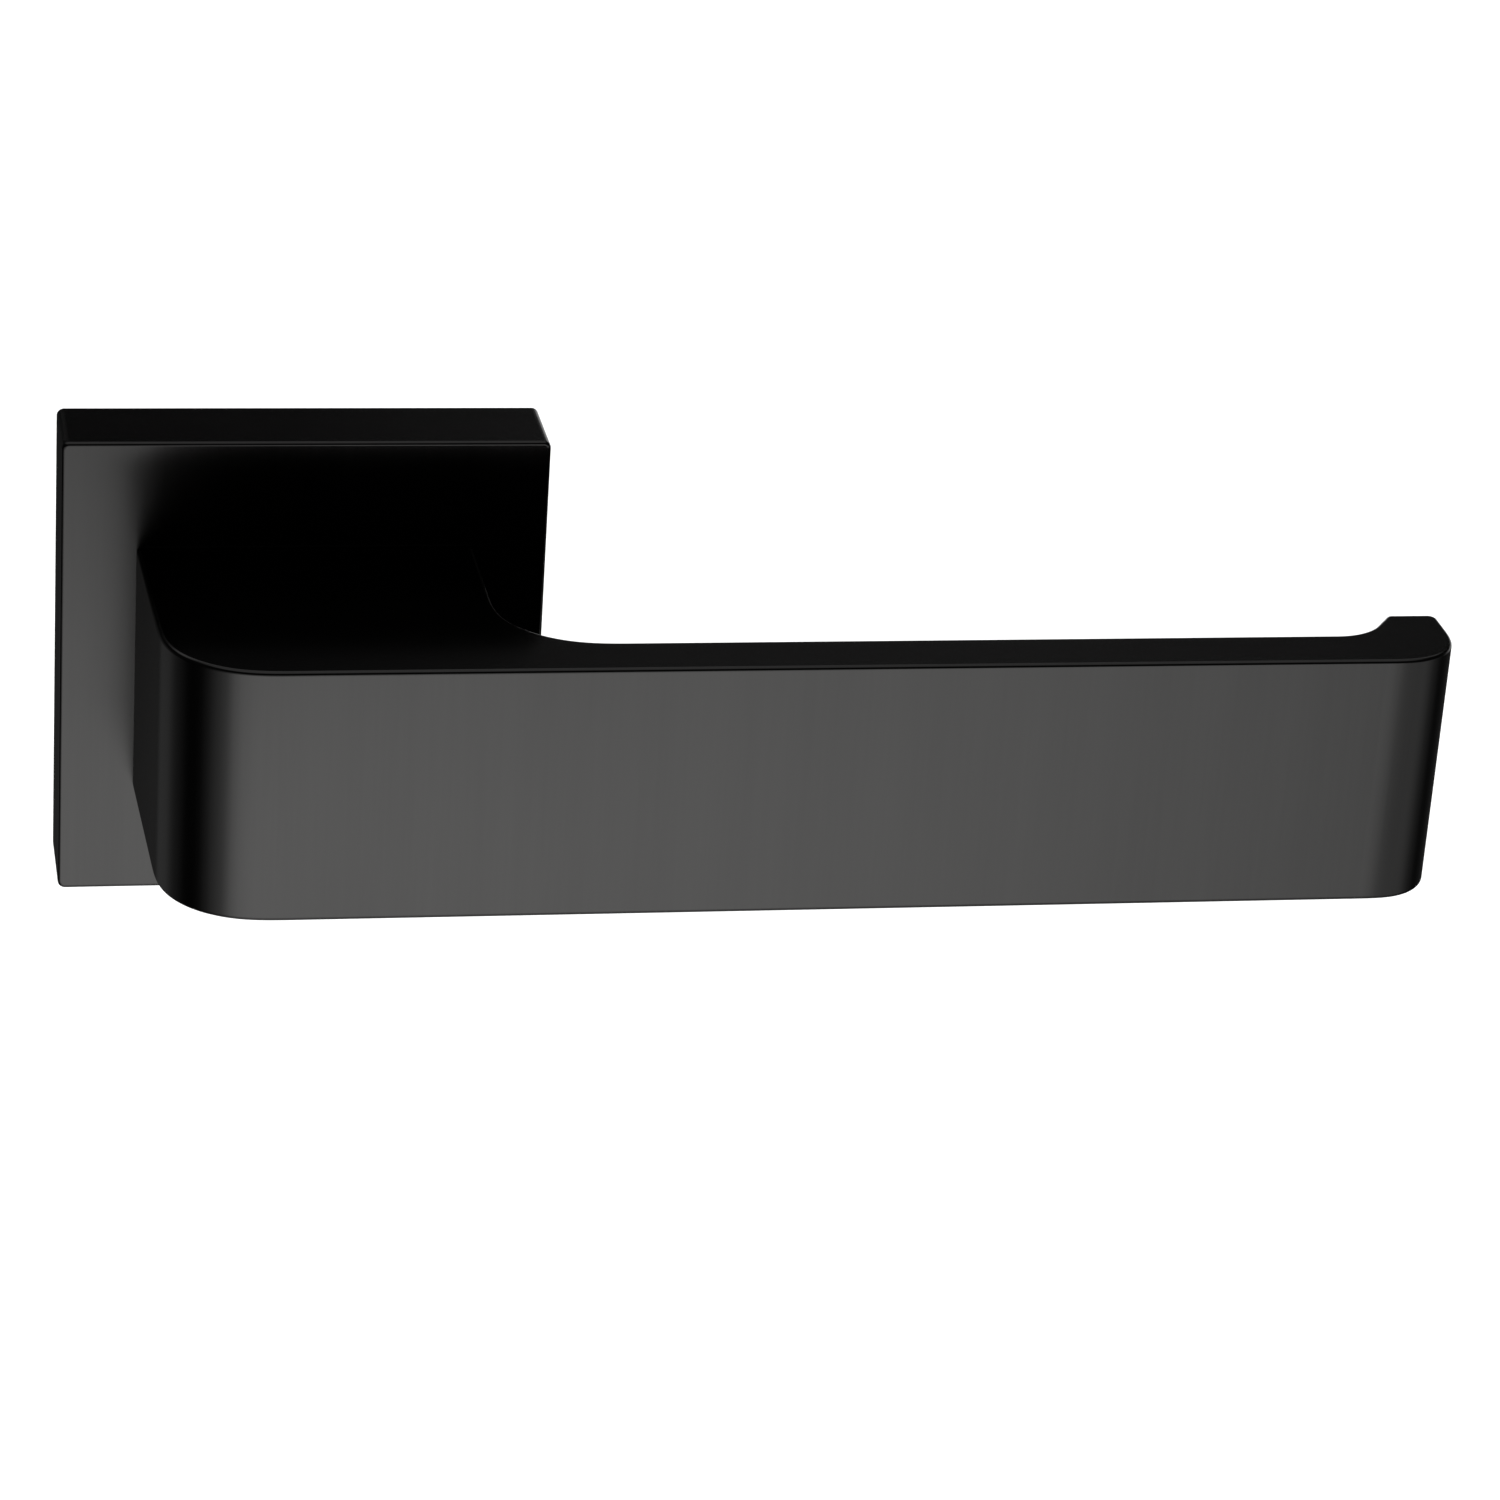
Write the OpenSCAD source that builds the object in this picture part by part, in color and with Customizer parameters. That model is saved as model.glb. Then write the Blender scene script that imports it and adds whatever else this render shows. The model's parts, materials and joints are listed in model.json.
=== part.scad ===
// Lever door handle on a square rose, for the room side of an interior door.
// The origin is where the spindle axis crosses the door face: +X runs along
// the lever, +Y goes into the door and +Z is up. All lengths are millimetres.

/* [Rose] */
// Width and height of the square rose
rose_w = 52; // [50:0.5:56]
// Projection of the rose from the door face
rose_t = 10.5; // [10:0.1:11]
// Radius of the rose's four corners
rose_corner = 0.8; // [0.4:0.1:2]
// Side wall thickness of the rose cover
cover_wall = 1.4; // [1.2:0.1:1.6]
// Front wall thickness of the rose cover
cover_front = 1.5; // [1.2:0.1:1.5]

/* [Lever] */
// Distance from the spindle axis to the lever's end
lever_reach = 119.6; // [110:0.1:140]
// Projection of the lever's front face from the door face
lever_proj = 44; // [43:0.5:50]
// Height of the lever, the same along its whole length
lever_h = 28; // [24:0.5:32]
// Thickness of the grip bar
bar_t = 7; // [6.5:0.1:7.2]
// Width of the square neck
neck_w = 36; // [34:0.5:38]
// Radius of the outer bend, where the neck turns into the bar
outer_r = 11; // [8:0.5:12]
// Lean of the neck's outer side towards the bend, in degrees
neck_lean = 1.8; // [0:0.1:2]
// Radius of the inner bend
inner_r = 11; // [5:0.5:12]
// Radius of the front corner at the lever's end
end_r = 7; // [4:0.5:7]
// Return of the lever's end behind the bar's back face
lip_rise = 5.35; // [3.5:0.05:6]
// Thickness of the return at the end, at its crest
lip_t = 5.3; // [4:0.1:6]
// Radius of the hollow between the bar and the return
lip_fillet = 6.5; // [3:0.5:7]

/* [Spindle] */
// Side of the square spindle
spindle_w = 8; // [7:0.1:8]
// Length of the spindle
spindle_len = 90; // [80:1:110]
// How far the spindle reaches into the neck, from the door face
spindle_in = 36; // [30:0.5:36]

/* [Fixings] */
// Distance between the two fixing bolts
bolt_pitch = 38; // [38:0.1:38.6]
// Radius of the posts that locate in the door
post_r = 3.75; // [3.5:0.05:3.75]
// Length of the posts behind the door face
post_len = 8; // [6:0.5:12]
// Radius of the fixing bolts' thread
bolt_r = 2; // [1.9:0.05:2]
// Reach of the fixing bolts behind the door face
bolt_reach = 42; // [30:1:50]
// Offset of the wood screw holes from the axis, both ways
screw_xy = 18.5; // [18:0.1:19]

/* [Mechanism] */
// Radius of the lever's collar
collar_r = 9.5; // [9:0.1:9.5]
// Running clearance on the collar and on the hub's journal
running = 0.05; // [0.03:0.01:0.08]
// Gap between the neck's back and the rose's front
neck_gap = 0.3; // [0.2:0.05:0.4]
// Wire radius of the return spring
wire_r = 0.5; // [0.4:0.05:0.5]
// Mean radius of the return spring's coils
coil_r = 8.75; // [8.6:0.05:8.8]
// How far the lever turns down
lever_turn = 45; // [30:1:45]

/* [Hidden] */
$fn = 72;
e = 0.01;

rh = rose_w / 2;              // half the rose
ih = rh - cover_wall;         // half the cover's inside
bh = ih - 0.1;                // half the base plate
nh = neck_w / 2;
zh = lever_h / 2;
back_y = lever_proj - bar_t;  // bar's back face, from the door face
lip_y = back_y - lip_rise;    // crest of the return at the end
neck_y = rose_t + neck_gap;   // neck's back

plate_t = 2.6;                // base plate
recess = 1.4;                 // recess for the spring plate
drum_r = 14.4;                // outside of the spring drum
chamber_r = 12.8;             // inside of the spring drum
chamber_d = 6.8;              // floor of the chamber, from the door face
drum_d = rose_t - cover_front - 0.2; // front of the drum
ring_r = 11;                  // bore in the drum's front wall
flange_r = 12.3;              // opening in the cover

// spring: angles seen from the room, anticlockwise from +X
dog_mid = 270;
peg_a = 266;
fixed_a = 60;
spring_lo = 2.3;
spring_hi = 4.75;
off = coil_r + wire_r + 0.83; // a post's distance across from a spring leg
peg_s = 4.2;
post_s = 5.9;
peg_cr = sqrt(off * off + peg_s * peg_s);
post_cr = sqrt(off * off + post_s * post_s);
turn_end = peg_a + atan(peg_s / off);      // where the moving leg leaves the coil
turn_start = fixed_a - atan(post_s / off); // where the fixed leg meets the coil
turns = 2 + (turn_start - turn_end + 360) / 360;

// Local frame with x right, y up and z out from the door towards the room
module out_of_door() { rotate([90, 0, 0]) children(); }

// Rectangle with rounded corners, centred
module rsq(w, h, r) {
    square([w - 2 * r, h], center = true);
    square([w, h - 2 * r], center = true);
    for (i = [-1, 1], j = [-1, 1])
        translate([i * (w / 2 - r), j * (h / 2 - r)]) circle(r);
}

// Part of a ring between two angles less than 180 degrees apart
module sector(r1, r2, a1, a2) {
    am = (a1 + a2) / 2;
    intersection() {
        difference() {
            circle(r2);
            circle(r1);
        }
        polygon([[0, 0], 30 * [cos(a1), sin(a1)],
                 36 * [cos(am), sin(am)], 30 * [cos(a2), sin(a2)]]);
    }
}

// Tube of round section along a list of points, with 8 sides
module wire(pts, r, sides = 8) {
    n = len(pts);
    function dir(i) = let (a = pts[max(i - 1, 0)], b = pts[min(i + 1, n - 1)], d = b - a) d / norm(d);
    function ring(i) = let (t = dir(i), u0 = cross([0, 0, 1], t), u = u0 / norm(u0), v = cross(t, u))
        [for (k = [0 : sides - 1]) pts[i] + r * (cos(360 * k / sides) * u + sin(360 * k / sides) * v)];
    vs = [for (i = [0 : n - 1]) each ring(i)];
    side = [for (i = [0 : n - 2], k = [0 : sides - 1])
        [i * sides + k, (i + 1) * sides + k, (i + 1) * sides + (k + 1) % sides, i * sides + (k + 1) % sides]];
    caps = [[for (k = [0 : sides - 1]) k], [for (k = [sides - 1 : -1 : 0]) (n - 1) * sides + k]];
    polyhedron(vs, concat(side, caps), convexity = 10);
}

// Plan outline of the lever, x along it and y out of the door as negative
module lever_outline() {
    slope = 54.6;                                         // of the return's back, in degrees
    foot_x = lever_reach - lip_t - lip_rise / tan(slope); // where the slope meets the bar
    tang = lip_fillet * tan(slope / 2);
    bend_y = outer_r - lever_proj;
    bend_c = [(outer_r - sin(neck_lean) * (bend_y + neck_y)) / cos(neck_lean) - nh, bend_y]; // centre of the outer bend
    difference() {
        union() {
            // neck, whose outer side leans in a little, and the round of the outer bend
            polygon([[-nh, -neck_y], bend_c - outer_r * [cos(neck_lean), sin(neck_lean)], bend_c,
                     [bend_c[0], -lever_proj], [nh, -lever_proj], [nh, -neck_y]]);
            translate(bend_c) circle(outer_r, $fn = 96);
            // grip bar
            translate([0, -lever_proj]) square([lever_reach - end_r, bar_t]);
            // end, with its front corner rounded and its return
            intersection() {
                translate([lever_reach - end_r, -lever_proj + end_r]) circle(end_r);
                translate([lever_reach - end_r, -lever_proj - 1]) square(end_r + 1);
            }
            translate([lever_reach - 1, -lip_y - 1]) circle(1);
            polygon([[foot_x, -lever_proj + end_r], [foot_x, -back_y], [lever_reach - lip_t, -lip_y],
                     [lever_reach - 1, -lip_y], [lever_reach - 1, -lip_y - 1], [lever_reach, -lip_y - 1],
                     [lever_reach, -lever_proj + end_r]]);
            // blank for the hollow before the return
            polygon([[foot_x - tang, -back_y - 1], [foot_x - tang, -back_y],
                     [foot_x + tang * cos(slope), -back_y + tang * sin(slope)],
                     [foot_x + tang * cos(slope) + 1, -back_y - 1]]);
            // blank for the inner bend
            translate([nh - e, -back_y - e]) square([inner_r + e, inner_r + e]);
        }
        translate([nh + inner_r, -back_y + inner_r]) circle(inner_r, $fn = 96);
        translate([foot_x - tang, -back_y + lip_fillet]) circle(lip_fillet);
    }
}

module lever_handle() {
    color("#4a4a4d")
    difference() {
        union() {
            translate([0, 0, -zh]) linear_extrude(lever_h) lever_outline();
            out_of_door() translate([0, 0, chamber_d - 0.1])
                cylinder(r = collar_r, h = neck_y - chamber_d + 0.2);
        }
        // blind square hole for the spindle
        out_of_door() translate([0, 0, chamber_d - 1])
            linear_extrude(spindle_in + 0.5 - chamber_d + 1) square(spindle_w + 0.1, center = true);
        // grub screw hole from below
        translate([0, -18, -zh - 1]) cylinder(r = 2.5, h = zh + 1 - spindle_w / 2);
        // core pockets beside the collar
        for (s = [-1, 1])
            out_of_door() translate([s * 13.2, 0, neck_y - 1])
                linear_extrude(18.5) rsq(4.6, lever_h - 6, 1);
    }
}

module grub_screw() {
    color("#2b2b2d")
    translate([0, -18, -spindle_w / 2 - 8])
        difference() {
            union() {
                cylinder(r = 2.45, h = 7.2);
                translate([0, 0, 7.2]) cylinder(r1 = 2.45, r2 = 1.6, h = 0.8);
            }
            translate([0, 0, -e]) cylinder(r = 2.5 / 2 / cos(30), h = 2.8, $fn = 6);
        }
}

module spindle() {
    color("#b9bcc0")
    translate([-spindle_w / 2, -spindle_in, -spindle_w / 2])
        cube([spindle_w, spindle_len, spindle_w]);
}

module spring_hub() {
    color("#9a9c9f")
    out_of_door()
    difference() {
        union() {
            translate([0, 0, 0.1]) cylinder(r = 7, h = 3);
            translate([0, 0, 1.65]) cylinder(r = 7.5, h = 4);
            translate([0, 0, 5.3]) cylinder(r = 10.5, h = 1.3);
            translate([0, 0, 5.3]) linear_extrude(1.3) sector(9, 12.4, dog_mid - 20, dog_mid + 20);
            rotate([0, 0, peg_a]) translate([peg_cr, 0, 3.7]) cylinder(r = 0.8, h = 2, $fn = 32);
        }
        translate([0, 0, -1]) linear_extrude(9) square(spindle_w + 0.1, center = true);
    }
}

module wave_washer() {
    color("#c4c6c9")
    out_of_door() translate([0, 0, recess])
        difference() {
            cylinder(r = 8.6, h = 0.25);
            translate([0, 0, -1]) cylinder(r = 7.1, h = 3);
        }
}

module rose_cover() {
    color("#4a4a4d")
    difference() {
        out_of_door() difference() {
            linear_extrude(rose_t) rsq(rose_w, rose_w, rose_corner);
            translate([0, 0, -1]) linear_extrude(rose_t - cover_front + 1) square(2 * ih, center = true);
            translate([0, 0, -1]) cylinder(r = flange_r, h = rose_t + 2);
        }
        // set screw hole through the lower wall
        translate([0, -5, -rh - 1]) cylinder(r = 1.6, h = 4, $fn = 32);
    }
}

module cover_set_screw() {
    color("#2b2b2d")
    translate([0, -5, -rh + 0.3])
        difference() {
            cylinder(r = 1.45, h = 5, $fn = 32);
            translate([0, 0, -e]) cylinder(r = 1.5 / 2 / cos(30), h = 1.6, $fn = 6);
        }
}

module base_plate() {
    color("#8f9193")
    out_of_door()
    difference() {
        union() {
            linear_extrude(plate_t) rsq(2 * bh, 2 * bh, 0.8);
            cylinder(r = drum_r, h = drum_d);
            // bosses for the spring plate's screws
            for (i = [-1, 1], j = [-1, 1]) translate([i * 9, j * 18, 0]) cylinder(r = 2.6, h = 6.2, $fn = 32);
            // block for the cover's set screw
            translate([-4, -bh, 0]) cube([8, 4.4, 7.4]);
        }
        // recess for the spring plate
        translate([0, 0, -1]) linear_extrude(recess + 1) rsq(27.4, 43.4, 1.7);
        // spring chamber, between its two stop ribs and the spring post
        difference() {
            translate([0, 0, recess - e]) cylinder(r = chamber_r, h = chamber_d - recess + e);
            translate([0, 0, 5.3]) linear_extrude(2)
                sector(10.9, 13.5, dog_mid + 25.6, dog_mid + 38);
            translate([0, 0, 5.3]) linear_extrude(2)
                sector(10.9, 13.5, dog_mid - 38 - lever_turn, dog_mid - 25.6 - lever_turn);
            rotate([0, 0, fixed_a]) translate([post_cr, 0, recess + 0.2]) cylinder(r = 0.8, h = 6, $fn = 32);
        }
        translate([0, 0, 1]) cylinder(r = ring_r, h = drum_d);
        // holes for the fixing posts
        for (s = [-1, 1]) translate([s * bolt_pitch / 2, 0, -1]) {
            cylinder(r = post_r + 0.05, h = 2.2, $fn = 48);
            cylinder(r = 2.95, h = plate_t + 2, $fn = 48);
        }
        // holes for wood screws, countersunk from the front
        for (i = [-1, 1], j = [-1, 1]) translate([i * screw_xy, j * screw_xy, 0]) {
            translate([0, 0, -1]) cylinder(r = 2.1, h = plate_t + 2, $fn = 40);
            translate([0, 0, plate_t - 1.6]) cylinder(r1 = 2.1, r2 = 3.8, h = 1.7, $fn = 40);
        }
        // pilot holes for the spring plate's screws
        for (i = [-1, 1], j = [-1, 1]) translate([i * 9, j * 18, -1]) cylinder(r = 1.25, h = 6.5, $fn = 24);
        // tapped hole for the cover's set screw
        translate([0, -bh - 1, 5]) rotate([-90, 0, 0]) cylinder(r = 1.5, h = 4.9, $fn = 32);
    }
}

module fixing_posts() {
    color("#a6a8ab")
    out_of_door()
    for (s = [-1, 1]) translate([s * bolt_pitch / 2, 0, 0])
        difference() {
            union() {
                translate([0, 0, -post_len + 0.6]) cylinder(r = post_r, h = post_len - 0.8, $fn = 48);
                translate([0, 0, -post_len]) cylinder(r1 = post_r - 0.5, r2 = post_r, h = 0.6, $fn = 48);
                translate([0, 0, -0.3]) cylinder(r = post_r - 0.25, h = 1.5, $fn = 48);
                translate([0, 0, 1]) cylinder(r = 2.9, h = plate_t - 1, $fn = 48);
            }
            translate([0, 0, -post_len - 1]) cylinder(r = 2.15, h = post_len + plate_t + 2, $fn = 40);
        }
}

module guide_ring() {
    color("#e8e6e0")
    out_of_door()
    difference() {
        union() {
            translate([0, 0, chamber_d]) cylinder(r = ring_r - 0.05, h = drum_d - chamber_d + 0.2);
            translate([0, 0, drum_d]) cylinder(r = flange_r - 0.1, h = rose_t + 0.1 - drum_d);
        }
        translate([0, 0, 0]) cylinder(r = collar_r + running, h = rose_t + 5);
    }
}

module return_spring() {
    step = 12;
    n = ceil(360 * turns / step);
    function at(r_out, a, s, h) = [r_out * cos(a) - s * sin(a), r_out * sin(a) + s * cos(a), h];
    lead = [for (s = [8.2, 5, 2]) at(coil_r, turn_start, s, spring_lo)];
    coil = [for (i = [0 : n]) let (f = i / n, a = turn_start - 360 * turns * f)
            [coil_r * cos(a), coil_r * sin(a), spring_lo + (spring_hi - spring_lo) * f]];
    tail = [for (s = [2, 4.5, 6.8]) at(coil_r, turn_end, -s, spring_hi)];
    color("#7d8084")
    out_of_door() wire(concat(lead, coil, tail), wire_r);
}

module stop_buffers() {
    color("#1d1d1f")
    out_of_door() translate([0, 0, 5.4]) linear_extrude(1.35) {
        sector(11, chamber_r - 0.05, dog_mid + 20.6, dog_mid + 25.4);
        sector(11, chamber_r - 0.05, dog_mid - 25.4 - lever_turn, dog_mid - 20.6 - lever_turn);
    }
}

module spring_plate() {
    color("#c0c3c6")
    out_of_door() translate([0, 0, 0.2])
    difference() {
        linear_extrude(recess - 0.2) rsq(27, 43, 1.5);
        translate([0, 0, -1]) cylinder(r = 7 + running, h = 4);
        for (i = [-1, 1], j = [-1, 1]) translate([i * 9, j * 18, 0]) {
            translate([0, 0, -1]) cylinder(r = 1.35, h = 4, $fn = 32);
            translate([0, 0, -e]) cylinder(r1 = 2.45, r2 = 1.35, h = 1.1, $fn = 32);
        }
    }
}

module plate_screws() {
    color("#8a8c8f")
    out_of_door()
    for (i = [-1, 1], j = [-1, 1]) translate([i * 9, j * 18, 0.25])
        difference() {
            union() {
                cylinder(r1 = 2.3, r2 = 1.2, h = 1.1, $fn = 32);
                cylinder(r = 1.2, h = 5, $fn = 32);
            }
            for (a = [0, 90]) rotate([0, 0, a + 20]) translate([-1.3, -0.25, -e]) cube([2.6, 0.5, 0.7]);
        }
}

module fixing_bolts() {
    head_d = plate_t + 0.8;
    color("#b3b5b8")
    out_of_door()
    for (s = [-1, 1]) translate([s * bolt_pitch / 2, 0, 0])
        difference() {
            union() {
                translate([0, 0, head_d]) cylinder(r = 3.5, h = 2.4, $fn = 48);
                translate([0, 0, -post_len - 0.3]) cylinder(r = 1.78, h = post_len + head_d + 0.5, $fn = 40);
                translate([0, 0, -bolt_reach + 0.6]) cylinder(r = bolt_r, h = bolt_reach - post_len - 0.9, $fn = 40);
                translate([0, 0, -bolt_reach]) cylinder(r1 = bolt_r - 0.5, r2 = bolt_r, h = 0.6, $fn = 40);
            }
            for (a = [0, 90]) rotate([0, 0, a + 45]) translate([-1.9, -0.4, head_d + 1.1]) cube([3.8, 0.8, 2]);
        }
}

module bolt_washers() {
    color("#c4c6c9")
    out_of_door()
    for (s = [-1, 1]) translate([s * bolt_pitch / 2, 0, plate_t])
        difference() {
            cylinder(r = 4.3, h = 0.8, $fn = 48);
            translate([0, 0, -1]) cylinder(r = 2.15, h = 3, $fn = 40);
        }
}

lever_handle();
grub_screw();
spindle();
spring_hub();
wave_washer();
rose_cover();
cover_set_screw();
base_plate();
fixing_posts();
guide_ring();
return_spring();
stop_buffers();
spring_plate();
plate_screws();
fixing_bolts();
bolt_washers();
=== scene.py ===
import json
import math

import bmesh
import bpy
from mathutils import Matrix, Vector

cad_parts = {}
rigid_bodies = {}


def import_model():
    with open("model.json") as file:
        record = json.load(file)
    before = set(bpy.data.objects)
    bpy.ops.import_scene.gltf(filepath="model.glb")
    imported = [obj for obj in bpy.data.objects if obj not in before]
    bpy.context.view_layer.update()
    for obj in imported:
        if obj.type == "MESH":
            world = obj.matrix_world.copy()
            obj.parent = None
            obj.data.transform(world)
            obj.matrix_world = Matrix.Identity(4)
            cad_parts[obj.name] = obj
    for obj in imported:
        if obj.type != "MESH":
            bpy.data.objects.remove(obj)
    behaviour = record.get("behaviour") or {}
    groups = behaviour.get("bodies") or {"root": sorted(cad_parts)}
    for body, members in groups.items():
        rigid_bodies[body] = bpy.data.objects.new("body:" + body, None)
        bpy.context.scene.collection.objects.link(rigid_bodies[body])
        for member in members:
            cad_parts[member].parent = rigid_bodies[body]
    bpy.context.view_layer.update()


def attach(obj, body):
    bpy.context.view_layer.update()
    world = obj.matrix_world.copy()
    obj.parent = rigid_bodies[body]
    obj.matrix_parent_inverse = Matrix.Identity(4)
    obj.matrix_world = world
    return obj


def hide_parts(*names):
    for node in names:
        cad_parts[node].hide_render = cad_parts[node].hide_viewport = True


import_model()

# ---------------------------------------------------------------- dimensions, in millimetres, as in the CAD model
ROSE, ROSE_T, ROSE_R = 52.0, 10.5, 0.8
WALL, FRONT = 1.4, 1.5
REACH, PROJ, HGT, BAR_T = 119.6, 44.0, 28.0, 7.0
NH, OUT_R, IN_R, END_R = 18.0, 11.0, 11.0, 7.0
LEAN = math.radians(1.8)
LIP_RISE, LIP_T, LIP_F, SLOPE = 5.35, 5.3, 6.5, 54.6
BACK = PROJ - BAR_T
LIP_Y = BACK - LIP_RISE
NECK_Y = ROSE_T + 0.3
EDGE = 0.45          # radius of the broken edges along the lever's top and bottom
PLATE_T, RECESS = 2.6, 1.4
DRUM_R, CHAMBER_R, CHAMBER_D, DRUM_D = 14.4, 12.8, 6.8, 8.8
BH = 26.0 - WALL - 0.1
PITCH = 38.0


# ---------------------------------------------------------------- mesh helpers (all in millimetres)
def arc(cx, cy, r, a0, a1, n):
    """Points on an arc from a0 to a1 degrees, both ends included."""
    return [(cx + r * math.cos(math.radians(a0 + (a1 - a0) * i / n)),
             cy + r * math.sin(math.radians(a0 + (a1 - a0) * i / n))) for i in range(n + 1)]


def clean(pts, tol=1e-4):
    out = []
    for p in pts:
        if not out or math.dist(p, out[-1]) > tol:
            out.append(p)
    if math.dist(out[0], out[-1]) <= tol:
        out.pop()
    return out


def area2(pts):
    return sum(a[0] * b[1] - b[0] * a[1] for a, b in zip(pts, pts[1:] + pts[:1]))


def inset(pts, d):
    """An anticlockwise outline moved inwards by d, corner by corner."""
    n, out = len(pts), []
    for i in range(n):
        (x0, y0), (x1, y1), (x2, y2) = pts[i - 1], pts[i], pts[(i + 1) % n]
        l1, l2 = math.hypot(x1 - x0, y1 - y0), math.hypot(x2 - x1, y2 - y1)
        n1 = (-(y1 - y0) / l1, (x1 - x0) / l1)
        n2 = (-(y2 - y1) / l2, (x2 - x1) / l2)
        k = 1 + n1[0] * n2[0] + n1[1] * n2[1]
        out.append((x1 + d * (n1[0] + n2[0]) / k, y1 + d * (n1[1] + n2[1]) / k))
    return out


def mesh_from(name, verts, faces):
    me = bpy.data.meshes.new(name)
    me.from_pydata([tuple(v) for v in verts], [], faces)
    bm = bmesh.new()
    bm.from_mesh(me)
    bmesh.ops.recalc_face_normals(bm, faces=bm.faces)
    bm.to_mesh(me)
    bm.free()
    ob = bpy.data.objects.new(name, me)
    bpy.context.scene.collection.objects.link(ob)
    return ob


def prism(name, pts, w0, w1, to3d, r0=0.0, r1=0.0, seg=5, chamfer=False):
    """An outline carried from level w0 to level w1, with rounded (or chamfered) edges of radius r0 and r1 at its ends."""
    pts = clean(pts)
    if area2(pts) < 0:
        pts = pts[::-1]
    levels = []
    s = 1 if w1 > w0 else -1
    n = 1 if chamfer else seg
    if r0 > 0:
        for i in range(n):
            a = math.pi / 2 * i / n
            levels.append((w0 + s * (r0 - r0 * math.cos(a)) if not chamfer else w0, (r0 - r0 * math.sin(a)) if not chamfer else r0))
        levels.append((w0 + s * r0, 0.0))
    else:
        levels.append((w0, 0.0))
    if r1 > 0:
        levels.append((w1 - s * r1, 0.0))
        for i in range(1, n + 1):
            a = math.pi / 2 * i / n
            levels.append((w1 - s * (r1 - r1 * math.sin(a)) if not chamfer else w1, (r1 - r1 * math.cos(a)) if not chamfer else r1))
    else:
        levels.append((w1, 0.0))
    verts, faces, m = [], [], len(pts)
    for w, d in levels:
        ring = inset(pts, d) if d > 1e-9 else pts
        verts += [to3d(u, v, w) for u, v in ring]
    for k in range(len(levels) - 1):
        for i in range(m):
            j = (i + 1) % m
            faces.append((k * m + i, k * m + j, (k + 1) * m + j, (k + 1) * m + i))
    faces.append(tuple(range(m)))
    faces.append(tuple((len(levels) - 1) * m + i for i in range(m)))
    return mesh_from(name, verts, faces)


def lathe(name, profile, to3d, segs=64, phase=0.0):
    """A closed profile of (radius, level) turned round the axis. Points at radius 0 become one point."""
    verts, rings, faces = [], [], []
    for r, w in profile:
        if r < 1e-7:
            rings.append([len(verts)])
            verts.append(to3d(0, 0, w))
        else:
            rings.append(list(range(len(verts), len(verts) + segs)))
            verts += [to3d(r * math.cos(2 * math.pi * i / segs + phase), r * math.sin(2 * math.pi * i / segs + phase), w)
                      for i in range(segs)]
    n = len(rings)
    for k in range(n):
        a, b = rings[k], rings[(k + 1) % n]
        if len(a) == 1 and len(b) == 1:
            continue
        for i in range(segs):
            j = (i + 1) % segs
            if len(a) == 1:
                faces.append((a[0], b[j], b[i]))
            elif len(b) == 1:
                faces.append((a[i], a[j], b[0]))
            else:
                faces.append((a[i], a[j], b[j], b[i]))
    return mesh_from(name, verts, faces)


def room(cx=0.0, cz=0.0):
    """Local x right, local y up, level w = distance out of the door towards the room."""
    return lambda u, v, w: (cx + u, -w, cz + v)


def plan(u, v, w):
    return (u, v, w)


def down(cx, cy):
    """Axis along Z: level w is the height z."""
    return lambda u, v, w: (cx + u, cy + v, w)


def cylm(name, r, w0, w1, to3d, segs=64, c0=0.0, c1=0.0):
    """A cylinder with chamfers c0 and c1; a negative chamfer flares it."""
    s = 1 if w1 > w0 else -1
    prof = [(0, w0), (r - c0, w0)]
    if abs(c0) > 1e-9:
        prof.append((r, w0 + s * abs(c0)))
    if abs(c1) > 1e-9:
        prof.append((r, w1 - s * abs(c1)))
    prof += [(r - c1, w1), (0, w1)]
    return lathe(name, prof, to3d, segs)


def csg(ob, cut=(), add=()):
    """Joins the solids in add, and cuts the solids in cut."""
    for o, op in [(o, "UNION") for o in add] + [(o, "DIFFERENCE") for o in cut]:
        m = ob.modifiers.new("b", "BOOLEAN")
        m.operation, m.solver, m.object = op, "EXACT", o
    bpy.context.view_layer.update()
    dg = bpy.context.evaluated_depsgraph_get()
    me = bpy.data.meshes.new_from_object(ob.evaluated_get(dg))
    ob.modifiers.clear()
    old = ob.data
    ob.data = me
    bpy.data.meshes.remove(old)
    for o in list(add) + list(cut):
        d = o.data
        bpy.data.objects.remove(o)
        if d.users == 0:
            bpy.data.meshes.remove(d)
    if len(me.polygons) < 4:
        raise RuntimeError("a boolean left nothing of " + ob.name)
    return ob


def done(ob, body, node, mat, angle=32.0, weighted=True):
    """Puts a finished piece on its body: scales it to metres, smooths it and gives it its material."""
    me = ob.data
    bm = bmesh.new()
    bm.from_mesh(me)
    bmesh.ops.remove_doubles(bm, verts=bm.verts, dist=2e-4)
    bmesh.ops.dissolve_degenerate(bm, edges=bm.edges, dist=1e-4)
    bmesh.ops.recalc_face_normals(bm, faces=bm.faces)
    bm.to_mesh(me)
    bm.free()
    me.transform(Matrix.Scale(0.001, 4))
    for p in me.polygons:
        p.use_smooth = True
    me.set_sharp_from_angle(angle=math.radians(angle))
    me.materials.clear()
    me.materials.append(mat)
    if weighted:
        w = ob.modifiers.new("normals", "WEIGHTED_NORMAL")
        w.mode, w.weight, w.keep_sharp = "FACE_AREA", 50, True
    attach(ob, body)
    if node:
        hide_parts(node)
    return ob


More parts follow.
